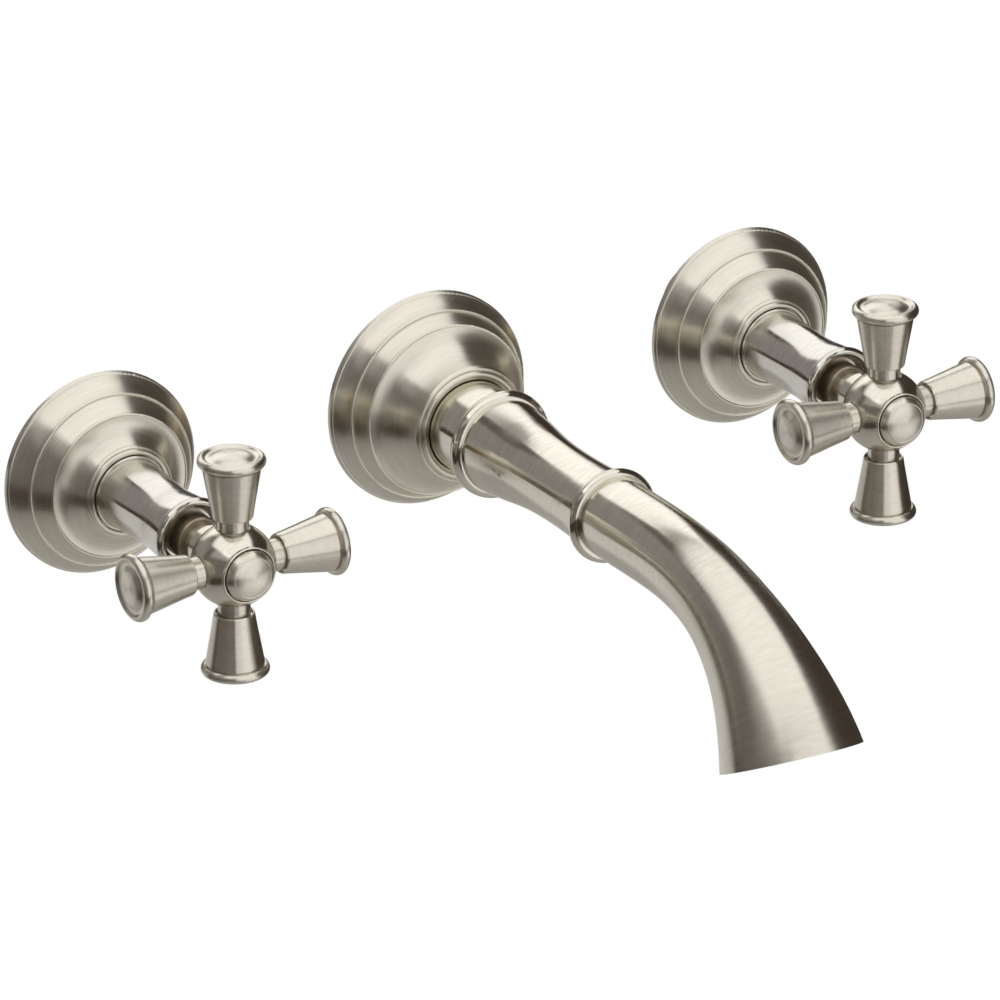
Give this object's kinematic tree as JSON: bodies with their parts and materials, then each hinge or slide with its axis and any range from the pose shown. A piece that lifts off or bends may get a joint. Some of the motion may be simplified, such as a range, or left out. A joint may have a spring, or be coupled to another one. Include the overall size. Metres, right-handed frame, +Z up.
{
  "type": "wall mounted bath faucet",
  "caption": "Widespread wall mounted bath faucet: hot and cold cross handles on stepped bell escutcheons and a beaded spout that bends down and flares to its mouth.",
  "frame": {"origin": "on the finished wall, on the axis of the spout's escutcheon", "axes": "+X to the right along the wall as seen from the room, towards the cold handle; +Y into the wall; +Z up. The faucet reaches towards -Y."},
  "size_m": [0.266, 0.2251, 0.0755],
  "materials": {
    "satin_nickel": "warm satin nickel with fine lines turned round each piece",
    "brass": "plain machined brass",
    "steel": "plain stainless steel",
    "rubber": "matt black rubber",
    "foam": "closed cell foam, dark grey",
    "ceramic": "lapped white alumina ceramic",
    "bronze": "dark sintered bronze",
    "aerator_plastic": "white acetal",
    "restrictor_plastic": "blue grey acetal"
  },
  "bodies": {
    "faucet": {"hot_escutcheon": "satin_nickel", "hot_wall_gasket": "foam", "hot_sleeve": "satin_nickel", "hot_stem_bush": "bronze", "hot_valve_body": "brass", "hot_bonnet_gasket": "rubber", "hot_cartridge_housing": "brass", "hot_seat_seal": "rubber", "hot_fixed_disc": "ceramic", "cold_escutcheon": "satin_nickel", "cold_wall_gasket": "foam", "cold_sleeve": "satin_nickel", "cold_stem_bush": "bronze", "cold_valve_body": "brass", "cold_bonnet_gasket": "rubber", "cold_cartridge_housing": "brass", "cold_seat_seal": "rubber", "cold_fixed_disc": "ceramic", "spout_escutcheon": "satin_nickel", "spout_wall_gasket": "foam", "escutcheon_oring": "rubber", "spout_body": "satin_nickel", "spout_shank": "brass", "shank_orings": "rubber", "spout_set_screw": "steel", "aerator_housing": "satin_nickel", "aerator_insert": "aerator_plastic", "flow_restrictor": "restrictor_plastic", "aerator_washer": "rubber"},
    "hot_handle": {"hot_moving_disc": "ceramic", "hot_cartridge_stem": "brass", "hot_stem_orings": "rubber", "hot_retaining_clip": "steel", "hot_stem_extension": "brass", "hot_handle_hub": "satin_nickel", "hot_handle_screw": "steel", "hot_index_button": "satin_nickel", "hot_button_oring": "rubber", "hot_arm_up": "satin_nickel", "hot_arm_right": "satin_nickel", "hot_arm_down": "satin_nickel", "hot_arm_left": "satin_nickel"},
    "cold_handle": {"cold_moving_disc": "ceramic", "cold_cartridge_stem": "brass", "cold_stem_orings": "rubber", "cold_retaining_clip": "steel", "cold_stem_extension": "brass", "cold_handle_hub": "satin_nickel", "cold_handle_screw": "steel", "cold_index_button": "satin_nickel", "cold_button_oring": "rubber", "cold_arm_up": "satin_nickel", "cold_arm_right": "satin_nickel", "cold_arm_down": "satin_nickel", "cold_arm_left": "satin_nickel"}
  },
  "joints": [
    {"name": "hot_turn", "type": "hinge", "parent": "faucet", "child": "hot_handle", "pos_m": [-0.1016, -0.0743, 0], "axis": [0, -1, 0], "range_deg": [0, 90]},
    {"name": "cold_turn", "type": "hinge", "parent": "faucet", "child": "cold_handle", "pos_m": [0.1016, -0.0743, 0], "axis": [0, 1, 0], "range_deg": [0, 90]}
  ]
}
